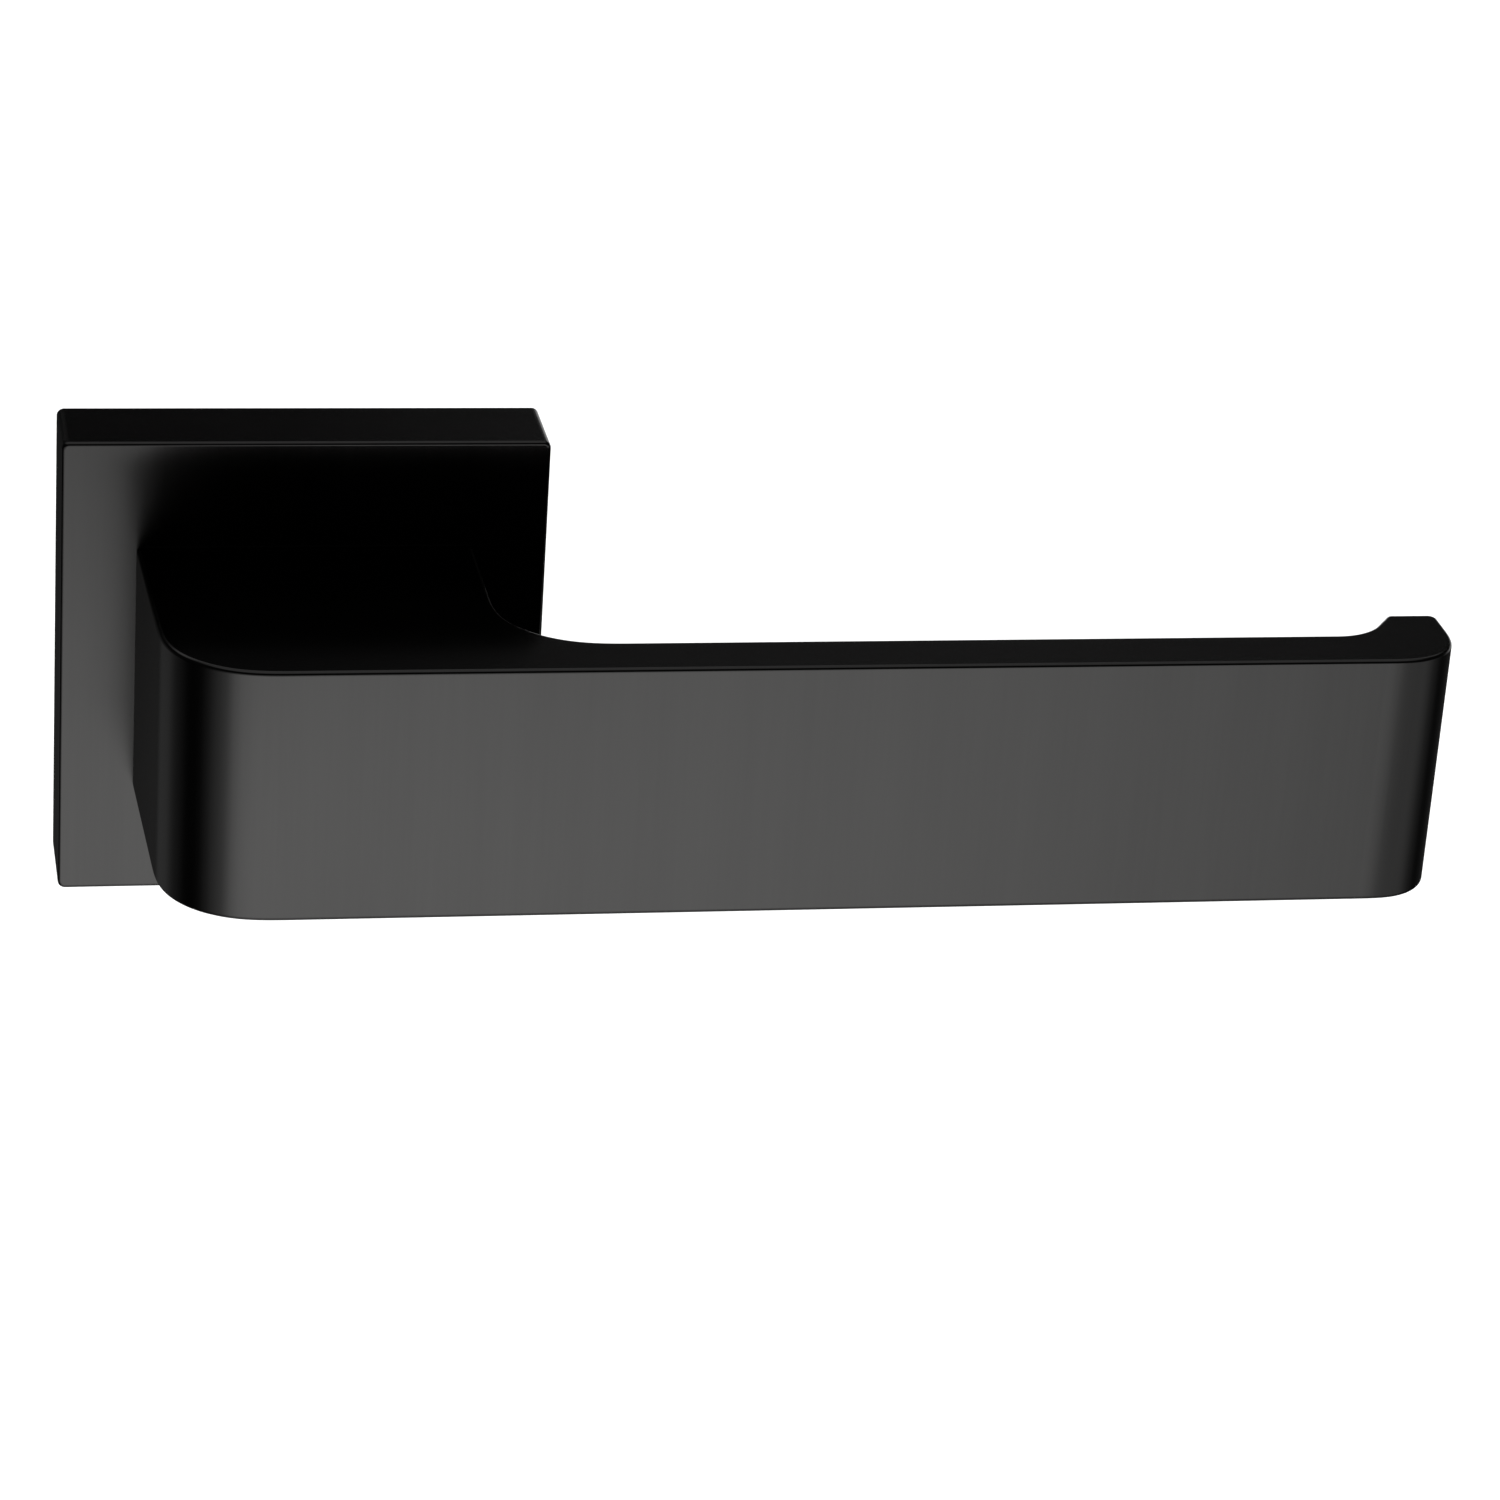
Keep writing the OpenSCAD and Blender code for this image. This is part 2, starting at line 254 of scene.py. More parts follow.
def rrect(w, h, r, n=8):
    return (arc(w / 2 - r, h / 2 - r, r, 0, 90, n) + arc(-w / 2 + r, h / 2 - r, r, 90, 180, n)
            + arc(-w / 2 + r, -h / 2 + r, r, 180, 270, n) + arc(w / 2 - r, -h / 2 + r, r, 270, 360, n))


def join(name, obs):
    """One object holding several separate solids."""
    bm = bmesh.new()
    for o in obs:
        bm.from_mesh(o.data)
    me = bpy.data.meshes.new(name)
    bm.to_mesh(me)
    bm.free()
    for o in obs:
        d = o.data
        bpy.data.objects.remove(o)
        bpy.data.meshes.remove(d)
    ob = bpy.data.objects.new(name, me)
    bpy.context.scene.collection.objects.link(ob)
    return ob


def threaded(name, r, pitch, w0, w1, to3d, depth=None, segs=36, per=8, c0=0.5, c1=0.5):
    """A solid rod with a true helical thread, tapered over c0 and c1 at its ends."""
    depth = depth or 0.54 * pitch
    s = 1 if w1 > w0 else -1
    length = abs(w1 - w0)
    rows = max(4, int(length / pitch * per))
    verts, faces = [], []
    for k in range(rows + 1):
        t = length * k / rows
        for i in range(segs):
            f = (t / pitch - i / segs) % 1.0
            tooth = min(1.0, max(0.0, (abs(f - 0.5) * 2 - 0.12) / 0.76))
            rr = r - depth * tooth
            cap = r - depth - 0.15 + 1.2 * min(t / c0, (length - t) / c1) * depth if c0 and c1 else rr
            rr = min(rr, max(cap, r - depth - 0.15))
            a = 2 * math.pi * i / segs
            verts.append(to3d(rr * math.cos(a), rr * math.sin(a), w0 + s * t))
    for k in range(rows):
        for i in range(segs):
            j = (i + 1) % segs
            faces.append((k * segs + i, k * segs + j, (k + 1) * segs + j, (k + 1) * segs + i))
    faces.append(tuple(range(segs)))
    faces.append(tuple(rows * segs + i for i in range(segs)))
    return mesh_from(name, verts, faces)


# ---------------------------------------------------------------- materials
def new_mat(name):
    m = bpy.data.materials.new(name)
    m.use_nodes = True
    nt = m.node_tree
    nt.nodes.clear()
    out = nt.nodes.new("ShaderNodeOutputMaterial")
    sh = nt.nodes.new("ShaderNodeBsdfPrincipled")
    nt.links.new(sh.outputs["BSDF"], out.inputs["Surface"])
    return m, nt, sh


def node(nt, kind, **props):
    n = nt.nodes.new(kind)
    for k, v in props.items():
        if k in ("inputs",):
            for key, val in v.items():
                n.inputs[key].default_value = val
        else:
            setattr(n, k, v)
    return n


def stretched_noise(nt, coord, scale, detail=3.0, rough=0.6):
    """Noise in object space, scaled along each axis, for grain that runs one way."""
    mp = node(nt, "ShaderNodeMapping", inputs={"Scale": scale})
    nz = node(nt, "ShaderNodeTexNoise", inputs={"Scale": 1.0, "Detail": detail, "Roughness": rough})
    nt.links.new(coord, mp.inputs["Vector"])
    nt.links.new(mp.outputs["Vector"], nz.inputs["Vector"])
    return nz.outputs["Fac"]


def ramp(nt, fac, lo, hi, a, b):
    m = node(nt, "ShaderNodeMapRange", inputs={"From Min": lo, "From Max": hi, "To Min": a, "To Max": b})
    nt.links.new(fac, m.inputs["Value"])
    return m.outputs["Result"]


def mix_colour(nt, fac, a, b):
    m = node(nt, "ShaderNodeMix", data_type="RGBA")
    m.inputs[6].default_value = (*a, 1)
    m.inputs[7].default_value = (*b, 1)
    nt.links.new(fac, m.inputs[0])
    return m.outputs[2]


def bump(nt, sh, height, strength, distance):
    b = node(nt, "ShaderNodeBump", inputs={"Strength": strength, "Distance": distance})
    nt.links.new(height, b.inputs["Height"])
    nt.links.new(b.outputs["Normal"], sh.inputs["Normal"])


def add(nt, a, b, fa=1.0, fb=1.0):
    m1 = node(nt, "ShaderNodeMath", operation="MULTIPLY")
    m1.inputs[1].default_value = fa
    nt.links.new(a, m1.inputs[0])
    m2 = node(nt, "ShaderNodeMath", operation="MULTIPLY_ADD")
    m2.inputs[1].default_value = fb
    nt.links.new(b, m2.inputs[0])
    nt.links.new(m1.outputs[0], m2.inputs[2])
    return m2.outputs[0]


def graphite():
    """Satin graphite plating over fine vertical brushing: reflections spread sideways, across the brush lines."""
    m, nt, sh = new_mat("graphite_satin")
    tc = node(nt, "ShaderNodeTexCoord")
    co = tc.outputs["Object"]
    fine = stretched_noise(nt, co, (2600, 2600, 55), 4.0, 0.65)    # hair-fine brush lines
    broad = stretched_noise(nt, co, (240, 240, 14), 2.0, 0.5)      # soft streaks a few millimetres wide
    cloud = stretched_noise(nt, co, (38, 38, 30), 2.0, 0.5)        # slow drift in the plating
    mixf = add(nt, fine, broad, 0.55, 0.45)
    mixc = add(nt, mixf, cloud, 0.7, 0.3)
    nt.links.new(mix_colour(nt, ramp(nt, mixc, 0.3, 0.7, 0, 1), (0.094, 0.093, 0.092), (0.110, 0.109, 0.1075)), sh.inputs["Base Color"])
    nt.links.new(ramp(nt, mixc, 0.3, 0.7, 0.145, 0.175), sh.inputs["Roughness"])
    sh.inputs["Metallic"].default_value = 1.0
    sh.inputs["Anisotropic"].default_value = 0.84
    # the spread runs across the brush lines: sideways on upright faces, along the lever on level ones
    across = node(nt, "ShaderNodeVectorMath", operation="CROSS_PRODUCT")
    across.inputs[1].default_value = (0, 0, 1)
    nt.links.new(tc.outputs["Normal"], across.inputs[0])
    along = node(nt, "ShaderNodeVectorMath", operation="ADD")
    along.inputs[1].default_value = (0.04, 0.01, 0)
    nt.links.new(across.outputs[0], along.inputs[0])
    tv = node(nt, "ShaderNodeVectorTransform", vector_type="VECTOR", convert_from="OBJECT", convert_to="WORLD")
    nt.links.new(along.outputs[0], tv.inputs[0])
    nt.links.new(tv.outputs[0], sh.inputs["Tangent"])
    bump(nt, sh, mixf, 0.05, 0.00004)
    return m


def metal(name, c0, c1, r0, r1, scale, bumps=0.1, dist=0.00003, detail=3.0):
    """A bare or plated metal whose grain is stretched by scale, in cycles per metre."""
    m, nt, sh = new_mat(name)
    co = node(nt, "ShaderNodeTexCoord").outputs["Object"]
    grain = stretched_noise(nt, co, scale, detail, 0.6)
    cloud = stretched_noise(nt, co, (90, 90, 90), 2.0, 0.5)
    mixc = add(nt, grain, cloud, 0.6, 0.4)
    nt.links.new(mix_colour(nt, ramp(nt, mixc, 0.3, 0.7, 0, 1), c0, c1), sh.inputs["Base Color"])
    nt.links.new(ramp(nt, mixc, 0.3, 0.7, r0, r1), sh.inputs["Roughness"])
    sh.inputs["Metallic"].default_value = 1.0
    bump(nt, sh, grain, bumps, dist)
    return m


def plastic(name, c0, c1, r0, r1, scale=(1500, 1500, 1500), subsurface=0.0):
    m, nt, sh = new_mat(name)
    co = node(nt, "ShaderNodeTexCoord").outputs["Object"]
    grain = stretched_noise(nt, co, scale, 3.0, 0.6)
    cloud = stretched_noise(nt, co, (120, 120, 120), 2.0, 0.5)
    mixc = add(nt, grain, cloud, 0.5, 0.5)
    nt.links.new(mix_colour(nt, ramp(nt, mixc, 0.3, 0.7, 0, 1), c0, c1), sh.inputs["Base Color"])
    nt.links.new(ramp(nt, mixc, 0.3, 0.7, r0, r1), sh.inputs["Roughness"])
    if subsurface:
        sh.inputs["Subsurface Weight"].default_value = subsurface
        sh.inputs["Subsurface Radius"].default_value = (0.0012, 0.001, 0.0008)
    bump(nt, sh, grain, 0.12, 0.00003)
    return m


GRAPHITE = graphite()
BLACK_STEEL = metal("black_oxide", (0.030, 0.030, 0.033), (0.05, 0.05, 0.053), 0.32, 0.5, (900, 900, 900))
SPINDLE = metal("drawn_steel", (0.46, 0.47, 0.49), (0.60, 0.61, 0.63), 0.24, 0.38, (1900, 60, 1900), 0.25, 0.00004)
SINTER = metal("sintered_steel", (0.22, 0.225, 0.235), (0.36, 0.365, 0.375), 0.42, 0.6, (3200, 3200, 3200), 0.4, 0.00005)
SPRING = metal("spring_wire", (0.30, 0.305, 0.32), (0.42, 0.425, 0.44), 0.25, 0.4, (1500, 1500, 1500))
CAST = metal("cast_zinc", (0.33, 0.335, 0.35), (0.46, 0.465, 0.48), 0.40, 0.58, (1300, 1300, 1300), 0.35, 0.00005)
PRESSED = metal("plated_steel", (0.52, 0.53, 0.54), (0.66, 0.67, 0.68), 0.26, 0.4, (260, 260, 2400), 0.15, 0.00003)
FASTENER = metal("plated_fastener", (0.48, 0.49, 0.50), (0.62, 0.63, 0.64), 0.22, 0.36, (1100, 1100, 1100))
NYLON = plastic("natural_nylon", (0.70, 0.68, 0.62), (0.78, 0.76, 0.70), 0.42, 0.52, subsurface=0.2)
RUBBER = plastic("buffer_rubber", (0.018, 0.018, 0.019), (0.03, 0.03, 0.031), 0.6, 0.75)


# ---------------------------------------------------------------- the lever
def soft_corner(px, py, heading, turn, r, n, ease=0.28):
    """A rounded corner at (px, py) that eases into and out of its bend, as deep as a plain arc of radius r."""
    steps, xs, x, y, turned = 600, [(0.0, 0.0)], 0.0, 0.0, 0.0
    total = 1 - ease
    for i in range(steps):
        q = (i + 0.5) / steps
        k = min(1.0, q / ease, (1 - q) / ease) / total
        turned += k / steps
        a = math.radians(heading + turn * (turned - 0.5 * k / steps))
        x, y = x + math.cos(a) / steps, y + math.sin(a) / steps
        xs.append((x, y))
    h0, h1 = math.radians(heading), math.radians(heading + turn)
    t0 = math.hypot(x, y) / math.hypot(math.cos(h0) + math.cos(h1), math.sin(h0) + math.sin(h1))
    mid = xs[steps // 2]
    apex = math.hypot(mid[0] - t0 * math.cos(h0), mid[1] - t0 * math.sin(h0))
    f = r * (1 / math.cos(math.radians(abs(turn) / 2)) - 1) / apex
    sx, sy = px - f * t0 * math.cos(h0), py - f * t0 * math.sin(h0)
    return [(sx + f * xs[steps * i // n][0], sy + f * xs[steps * i // n][1]) for i in range(n + 1)]


def lever_outline():
    foot = REACH - LIP_T - LIP_RISE / math.tan(math.radians(SLOPE))
    tang = LIP_F * math.tan(math.radians(SLOPE / 2))
    cr = REACH - LIP_T
    crest = 0.7                                        # small round on the inner corner of the return
    ct = crest * math.tan(math.radians(SLOPE / 2))
    p = [(-NH, -NECK_Y)]
    p += soft_corner(-NH + math.tan(LEAN) * (PROJ - NECK_Y), -PROJ, -90 + math.degrees(LEAN), 90 - math.degrees(LEAN), OUT_R, 44)
    p += soft_corner(REACH, -PROJ, 0, 90, END_R, 36)
    p += arc(REACH - 1, -LIP_Y - 1, 1, 0, 90, 8)
    p += arc(cr + ct, -LIP_Y - crest, crest, 90, 90 + SLOPE, 6)
    p += arc(foot - tang, -BACK + LIP_F, LIP_F, SLOPE - 90, -90, 14)
    p += soft_corner(NH, -BACK, 180, -90, IN_R, 36)
    p += [(NH, -NECK_Y)]
    return clean(p)


def make_lever():
    body = prism("lever_handle_body", lever_outline(), -HGT / 2, HGT / 2, plan, EDGE, EDGE, 5)
    collar = lathe("t", [(0, 6.7), (9.1, 6.7), (9.5, 7.1), (9.5, NECK_Y + 0.6), (0, NECK_Y + 0.6)], room(), 96)
    cuts = [
        prism("t", rrect(8.1, 8.1, 0.35, 3), 5.5, 36.5, room()),
        # mouth of the square socket
        prism("t", rrect(9.1, 9.1, 0.6, 3), 6.2, 7.15, room(), 0, 0.5, chamfer=True),
        cylm("t", 2.5, -16, -4, down(0, -18), 48),
        lathe("t", [(0, -16), (3.0, -16), (3.0, -14), (2.4, -13.4), (0, -13.4)], down(0, -18), 48),
        prism("t", rrect(4.6, HGT - 6, 1.0, 5), NECK_Y - 1, NECK_Y + 17.5, room(13.2), 0, 1.2, 3),
        prism("t", rrect(4.6, HGT - 6, 1.0, 5), NECK_Y - 1, NECK_Y + 17.5, room(-13.2), 0, 1.2, 3),
    ]
    return csg(body, cuts, [collar])


done(make_lever(), "lever", "lever_handle", GRAPHITE)


# ---------------------------------------------------------------- the rose cover
def make_cover():
    ih = 26.0 - WALL
    shell = prism("rose_cover_shell", rrect(ROSE, ROSE, ROSE_R, 10), 0, ROSE_T, room(), 0.15, 0.4, 6)
    cuts = [
        prism("t", rrect(2 * ih, 2 * ih, 0.6, 5), -1, ROSE_T - FRONT, room(), 0, 0.35, 3),
        lathe("t", [(0, 7), (12.3, 7), (12.3, ROSE_T - 0.25), (12.8, ROSE_T + 0.25), (12.8, 12), (0, 12)], room(), 128),
        cylm("t", 1.6, -28, -23, down(0, -5), 40),
        lathe("t", [(0, -27), (2.0, -27), (2.0, -26.1), (1.5, -25.6), (0, -25.6)], down(0, -5), 40),
    ]
    return csg(shell, cuts)


done(make_cover(), "rose", "rose_cover", GRAPHITE)


# ---------------------------------------------------------------- spindle and screws on the lever
sp = prism("spindle_bar", rrect(8, 8, 0.4, 4), -54, 36, room(), 0.36, 0.36, chamfer=True)
done(sp, "lever", "spindle", SPINDLE)

hexr = 2.5 / 2 / math.cos(math.radians(30))
gs = threaded("grub_screw_m5", 2.44, 0.8, -12.0, -4.0, down(0, -18), segs=40, per=10, c0=0.5, c1=1.2)
gs = csg(gs, [lathe("t", [(0, -12.6), (hexr, -12.6), (hexr, -9.3), (0, -8.7)], down(0, -18), 6, math.radians(15)),
              lathe("t", [(0, -12.6), (hexr + 0.55, -12.6), (hexr + 0.1, -11.85), (0, -11.85)], down(0, -18), 32)])
done(gs, "lever", "grub_screw", BLACK_STEEL)

hexs = 1.5 / 2 / math.cos(math.radians(30))
cs = threaded("cover_set_screw_m3", 1.44, 0.5, -25.7, -20.7, down(0, -5), segs=32, per=9, c0=0.35, c1=0.8)
cs = csg(cs, [lathe("t", [(0, -26.2), (hexs, -26.2), (hexs, -24.2), (0, -23.8)], down(0, -5), 6, 0.0)])
done(cs, "rose", "cover_set_screw", BLACK_STEEL)


# ---------------------------------------------------------------- inner rose
def make_base():
    base = prism("base_plate_casting", rrect(2 * BH, 2 * BH, 0.8, 6), 0, PLATE_T, room(), 0.3, 0.4, 3)
    adds = [
        lathe("t", [(0, 1.6), (DRUM_R + 0.5, 1.6), (DRUM_R + 0.5, 2.6), (DRUM_R + 0.15, 2.75), (DRUM_R, 3.1),
                    (DRUM_R, DRUM_D - 0.4), (DRUM_R - 0.12, DRUM_D - 0.12), (DRUM_R - 0.4, DRUM_D), (0, DRUM_D)], room(), 128),
        prism("t", [(-4, -BH + 0.02), (4, -BH + 0.02), (4, -BH + 4.4), (-4, -BH + 4.4)], 1.6, 7.4, room(), 0, 0.3, 3),
    ]
    for i in (-1, 1):
        for j in (-1, 1):
            adds.append(cylm("t", 2.6, 1.6, 6.2, room(9 * i, 18 * j), 48, 0, 0.3))
    cuts = [
        prism("t", rrect(27.4, 43.4, 1.7, 6), -1, RECESS, room()),
        lathe("t", [(0, RECESS - 0.2), (CHAMBER_R, RECESS - 0.2), (CHAMBER_R, CHAMBER_D), (11.0, CHAMBER_D), (11.0, DRUM_D + 1),
                    (0, DRUM_D + 1)], room(), 128),
    ]
    for i in (-1, 1):
        cuts.append(lathe("t", [(0, -1), (4.1, -1), (4.1, -0.05), (3.8, 0.3), (3.8, 1.2), (2.95, 1.2), (2.95, 4), (0, 4)],
                          room(i * PITCH / 2), 64))
        for j in (-1, 1):
            cuts.append(lathe("t", [(0, -1), (2.35, -1), (2.35, 0), (2.1, 0.25), (2.1, PLATE_T - 1.6), (4.0, PLATE_T + 0.2), (0, PLATE_T + 0.2)],
                              room(18.5 * i, 18.5 * j), 48))
            cuts.append(cylm("t", 1.25, 0, 5.5, room(9 * i, 18 * j), 32))
    cuts.append(lathe("t", [(0, -26), (1.5, -26), (1.5, -20.7), (0, -20.3)], down(0, -5), 32))
    base = csg(base, cuts, adds)

    # stop ribs and the spring's post, cast on the chamber's floor
    def rib(a0, a1):
        pts = arc(0, 0, 10.9, a0, a1, 6) + arc(0, 0, CHAMBER_R + 0.3, a1, a0, 8)
        return prism("t", pts, 5.3, CHAMBER_D + 0.3, room())
    post = cylm("t", 0.8, RECESS + 0.2, CHAMBER_D + 0.3, room(5.872, 10.171), 24, 0.15, 0)
    return csg(base, [], [rib(295.6, 308), rib(187, 199.4), post])


done(make_base(), "rose", "base_plate", CAST, 30)


def make_spring_plate():
    pl = prism("spring_plate_steel", rrect(27, 43, 1.5, 8), 0.2, RECESS, room(), 0.2, 0.1, 3)
    cuts = [lathe("t", [(0, -1), (7.3, -1), (7.3, 0.2), (7.05, 0.42), (7.05, 3), (0, 3)], room(), 96)]
    for i in (-1, 1):
        for j in (-1, 1):
            cuts.append(lathe("t", [(0, -0.9), (2.45, -0.9), (2.45, 0.2), (1.35, 1.3), (1.35, 3), (0, 3)], room(9 * i, 18 * j), 40))
    return csg(pl, cuts)


done(make_spring_plate(), "rose", "spring_plate", PRESSED)


def make_plate_screws():
    obs = []
    for i in (-1, 1):
        for j in (-1, 1):
            s = lathe("t", [(0, 0.25), (2.15, 0.25), (2.3, 0.36), (1.2, 1.45), (1.2, 4.8), (0.9, 5.25), (0, 5.25)], room(9 * i, 18 * j), 48)
            turn = 17 + 31 * i + 13 * j
            cuts = []
            for a in (0, 90):
                c, sn = math.cos(math.radians(turn + a)), math.sin(math.radians(turn + a))
                q = [(c * x - sn * y, sn * x + c * y) for x, y in [(-1.25, -0.22), (1.25, -0.22), (1.25, 0.22), (-1.25, 0.22)]]
                cuts.append(prism("t", q, 0, 0.95, room(9 * i, 18 * j)))
            s = csg(s, cuts)
            obs.append(s)
    return join("plate_screws_set", obs)


done(make_plate_screws(), "rose", "plate_screws", FASTENER, weighted=False)


def make_posts():
    obs = []
    for i in (-1, 1):
        obs.append(lathe("t", [(2.15, 2.45), (2.3, 2.6), (2.7, 2.6), (2.9, 2.45), (2.9, 1.2), (3.5, 1.2), (3.5, -0.2), (3.75, -0.35),
                               (3.75, -2.2), (3.6, -2.35), (3.6, -2.75), (3.75, -2.9), (3.75, -7.3), (3.3, -8.0), (2.5, -8.0), (2.15, -7.7)],
                         room(i * PITCH / 2), 72))
    return join("fixing_posts_pair", obs)


done(make_posts(), "rose", "fixing_posts", PRESSED)


def make_bolts():
    obs = []
    for i in (-1, 1):
        at = room(i * PITCH / 2)
        head = lathe("t", [(0, 3.4), (3.5, 3.4), (3.5, 5.3), (3.35, 5.6), (3.0, 5.8), (0, 5.8)], at, 64)
        cuts = []
        for a in (35, 125):
            c, sn = math.cos(math.radians(a * i)), math.sin(math.radians(a * i))
            q = [(c * x - sn * y, sn * x + c * y) for x, y in [(-1.8, -0.38), (1.8, -0.38), (1.8, 0.38), (-1.8, 0.38)]]
            cuts.append(prism("t", q, 4.6, 6.5, at, 0.25, 0, chamfer=True))
        head = csg(head, cuts)
        shank = lathe("t", [(0, 3.45), (1.78, 3.45), (1.78, -8.3), (0, -8.3)], at, 40)
        rod = threaded("t", 2.0, 0.7, -8.2, -42.0, at, segs=40, per=10, c0=0.5, c1=0.9)
        bolt = csg(head, [], [shank])
        obs.append(csg(bolt, [], [rod]))
    return join("fixing_bolts_m4", obs)


done(make_bolts(), "rose", "fixing_bolts", FASTENER, 40, weighted=False)

obs = [lathe("t", [(2.15, 2.65), (2.2, 2.6), (4.2, 2.6), (4.3, 2.7), (4.3, 3.3), (4.2, 3.4), (2.2, 3.4), (2.15, 3.35)], room(i * PITCH / 2), 64) for i in (-1, 1)]
done(join("bolt_washers_pair", obs), "rose", "bolt_washers", PRESSED)

ring = lathe("guide_ring_nylon", [(9.55, 6.95), (9.7, 6.8), (10.8, 6.8), (10.95, 6.95), (10.95, DRUM_D), (12.2, DRUM_D), (12.2, ROSE_T - 0.15), (11.95, ROSE_T + 0.1),
                                  (9.8, ROSE_T + 0.1), (9.55, ROSE_T - 0.15)], room(), 128)
done(ring, "rose", "guide_ring", NYLON)


# ---------------------------------------------------------------- hub, washer, spring and buffers
PEG_A, FIXED_A = 266.0, 60.0
COIL_R, WIRE_R, LO, HI = 8.75, 0.5, 2.3, 4.75
OFF = COIL_R + WIRE_R + 0.83
PEG_S, POST_S = 4.2, 5.9
PEG_CR = math.hypot(OFF, PEG_S)
T_END = PEG_A + math.degrees(math.atan(PEG_S / OFF))
T_START = FIXED_A - math.degrees(math.atan(POST_S / OFF))
TURNS = 2 + (T_START - T_END + 360) / 360


def make_hub():
    hub = lathe("spring_hub_sintered", [(0, 0.1), (6.8, 0.1), (7.0, 0.3), (7.0, 1.65), (7.5, 1.65), (7.5, 5.3), (10.5, 5.3), (10.5, 6.45), (10.35, 6.6), (0, 6.6)], room(), 96)
    dog = prism("t", arc(0, 0, 9.0, 250, 290, 8) + arc(0, 0, 12.4, 290, 250, 14), 5.3, 6.6, room(), 0.1, 0.15, 2)
    a = math.radians(PEG_A)
    peg = cylm("t", 0.8, 3.7, 5.8, room(PEG_CR * math.cos(a), PEG_CR * math.sin(a)), 24, 0.15, 0)
    hub = csg(hub, [], [dog, peg])
    return csg(hub, [prism("t", rrect(8.1, 8.1, 0.3, 3), -1, 8, room())])


done(make_hub(), "lever", "spring_hub", SINTER)


def make_wave():
    """The washer as it really is: three shallow waves, squeezed between the hub and the spring plate."""
    segs, verts, faces = 96, [], []
    for i in range(segs):
        a = 2 * math.pi * i / segs
        mid = RECESS + 0.125
        half = 0.075
        lift = 0.045 * math.sin(3 * a)
        for r, w in ((7.15, mid + lift - half), (8.6, mid + lift - half), (8.6, mid + lift + half), (7.15, mid + lift + half)):
            verts.append(room()(r * math.cos(a), r * math.sin(a), w))
    for i in range(segs):
        j = (i + 1) % segs
        for k in range(4):
            l = (k + 1) % 4
            faces.append((i * 4 + k, i * 4 + l, j * 4 + l, j * 4 + k))
    return mesh_from("wave_washer_steel", verts, faces)


done(make_wave(), "lever", "wave_washer", SPRING)


def make_spring():
    pts = []
    for s in (8.2, 6.5, 5, 3.5, 2, 1):
        a = math.radians(T_START)
        pts.append((COIL_R * math.cos(a) - s * math.sin(a), COIL_R * math.sin(a) + s * math.cos(a), LO))
    n = int(TURNS * 72)
    for i in range(n + 1):
        f = i / n
        a = math.radians(T_START - 360 * TURNS * f)
        pts.append((COIL_R * math.cos(a), COIL_R * math.sin(a), LO + (HI - LO) * f))
    for s in (1, 2, 3.2, 4.5, 5.7, 6.8):
        a = math.radians(T_END)
        pts.append((COIL_R * math.cos(a) + s * math.sin(a), COIL_R * math.sin(a) - s * math.cos(a), HI))
    sides, verts, faces = 16, [], []
    P = [Vector(p) for p in pts]
    for i, p in enumerate(P):
        t = (P[min(i + 1, len(P) - 1)] - P[max(i - 1, 0)]).normalized()
        u = Vector((0, 0, 1)).cross(t).normalized()
        v = t.cross(u)
        for k in range(sides):
            a = 2 * math.pi * k / sides
            q = p + WIRE_R * (math.cos(a) * u + math.sin(a) * v)
            verts.append(room()(q.x, q.y, q.z))
    m = len(P)
    for i in range(m - 1):
        for k in range(sides):
            l = (k + 1) % sides
            faces.append((i * sides + k, i * sides + l, (i + 1) * sides + l, (i + 1) * sides + k))
    faces.append(tuple(range(sides)))
    faces.append(tuple((m - 1) * sides + k for k in range(sides)))
    return mesh_from("return_spring_wire", verts, faces)


done(make_spring(), "rose", "return_spring", SPRING, 60)


def pad(a0, a1):
    return prism("t", arc(0, 0, 11.0, a0, a1, 4) + arc(0, 0, CHAMBER_R - 0.05, a1, a0, 5), 5.4, 6.75, room(), 0.12, 0.12, 2)


done(join("stop_buffers_pair", [pad(290.6, 295.4), pad(199.6, 204.4)]), "rose", "stop_buffers", RUBBER)

# ---------------------------------------------------------------- floor, world, lights, camera
FLOOR_Z = -0.80
fl = mesh_from("floor", [(-7, -7, FLOOR_Z), (7, -7, FLOOR_Z), (7, 7, FLOOR_Z), (-7, 7, FLOOR_Z)], [(0, 1, 2, 3)])
fm, nt, sh = new_mat("floor_pale")
co = node(nt, "ShaderNodeTexCoord").outputs["Object"]
nt.links.new(mix_colour(nt, stretched_noise(nt, co, (3, 3, 3), 2.0), (0.86, 0.86, 0.86), (0.88, 0.88, 0.88)), sh.inputs["Base Color"])
sh.inputs["Roughness"].default_value = 0.9
sh.inputs["Specular IOR Level"].default_value = 0.1
fl.data.materials.append(fm)
if fl.data.polygons[0].normal.z < 0:
    fl.data.flip_normals()
fl.visible_glossy = False      # the studio around the metal is the world below


